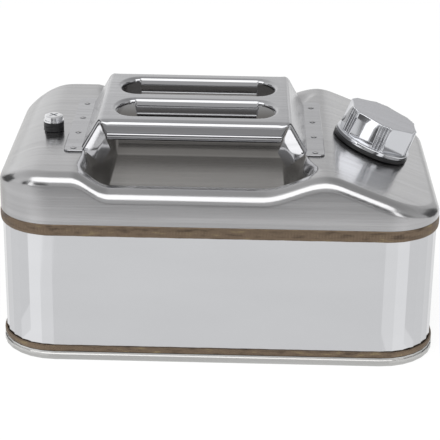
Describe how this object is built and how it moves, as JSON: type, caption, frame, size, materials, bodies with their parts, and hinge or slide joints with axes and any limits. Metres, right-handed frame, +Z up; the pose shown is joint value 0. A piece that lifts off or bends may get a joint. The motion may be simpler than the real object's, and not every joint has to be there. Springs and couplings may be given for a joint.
{
  "type": "fuel can",
  "caption": "Squat rectangular stainless steel fuel can with a pressed top, slotted carrying handle, angled screw-capped filler and a vent screw.",
  "frame": {"origin": "centre of the can's footprint on the surface that it stands on", "axes": "+X along the can towards the filler, +Y to its back, +Z up"},
  "size_m": [0.349, 0.239, 0.183],
  "materials": {
    "polished_steel": "mirror-polished stainless steel sheet",
    "brushed_steel": "satin brushed stainless steel sheet",
    "handle_steel": "bright satin stainless steel sheet",
    "weld": "heat-tinted seam weld, straw to brown",
    "chrome": "bright plated metal",
    "screw_steel": "bright steel screw",
    "rubber": "matte black fuel-proof rubber",
    "plastic": "moulded black plastic"
  },
  "bodies": {
    "can": {"body_wall": "polished_steel", "wall_butt_weld": "weld", "foot_rim": "brushed_steel", "base_pan": "brushed_steel", "lower_seam_weld": "weld", "upper_seam_weld": "weld", "top_shell": "brushed_steel", "handle": "handle_steel", "spot_weld_left_1": "handle_steel", "spot_weld_left_2": "handle_steel", "spot_weld_left_3": "handle_steel", "spot_weld_left_4": "handle_steel", "spot_weld_right_1": "handle_steel", "spot_weld_right_2": "handle_steel", "spot_weld_right_3": "handle_steel", "spot_weld_right_4": "handle_steel", "filler_neck": "brushed_steel", "neck_weld": "weld", "neck_gasket": "rubber", "vent_boss": "brushed_steel"},
    "cap_seal": {"cap_seal_disc": "rubber"},
    "cap_plate": {"cap_pressure_plate": "brushed_steel"},
    "filler_cap": {"cap_shell": "chrome", "cap_insert": "plastic"},
    "vent_ring": {"vent_washer": "rubber"},
    "vent_plug": {"vent_screw": "screw_steel"}
  },
  "joints": [
    {"name": "cap_lift", "type": "slide", "parent": "can", "child": "cap_seal", "axis": [0.3665, 0, 0.9304], "range_m": [0, 0.07]},
    {"name": "cap_rise", "type": "slide", "parent": "cap_seal", "child": "cap_plate", "axis": [0.3665, 0, 0.9304], "range_m": [0, 0.0121]},
    {"name": "cap_turn", "type": "hinge", "parent": "cap_plate", "child": "filler_cap", "pos_m": [0.1225, 0, 0.14341], "axis": [0.3665, 0, 0.9304], "range_deg": [0, 1080]},
    {"name": "vent_rise", "type": "slide", "parent": "can", "child": "vent_ring", "axis": [0, 0, 1], "range_m": [0, 0.0088]},
    {"name": "vent_turn", "type": "hinge", "parent": "vent_ring", "child": "vent_plug", "pos_m": [-0.138, -0.0135, 0.157], "axis": [0, 0, 1], "range_deg": [0, 2520]}
  ],
  "couplings": [
    {"joint": "cap_rise", "follows": "cap_turn", "m_per_rad": 0.00063662},
    {"joint": "vent_rise", "follows": "vent_turn", "m_per_rad": 0.00019894}
  ]
}
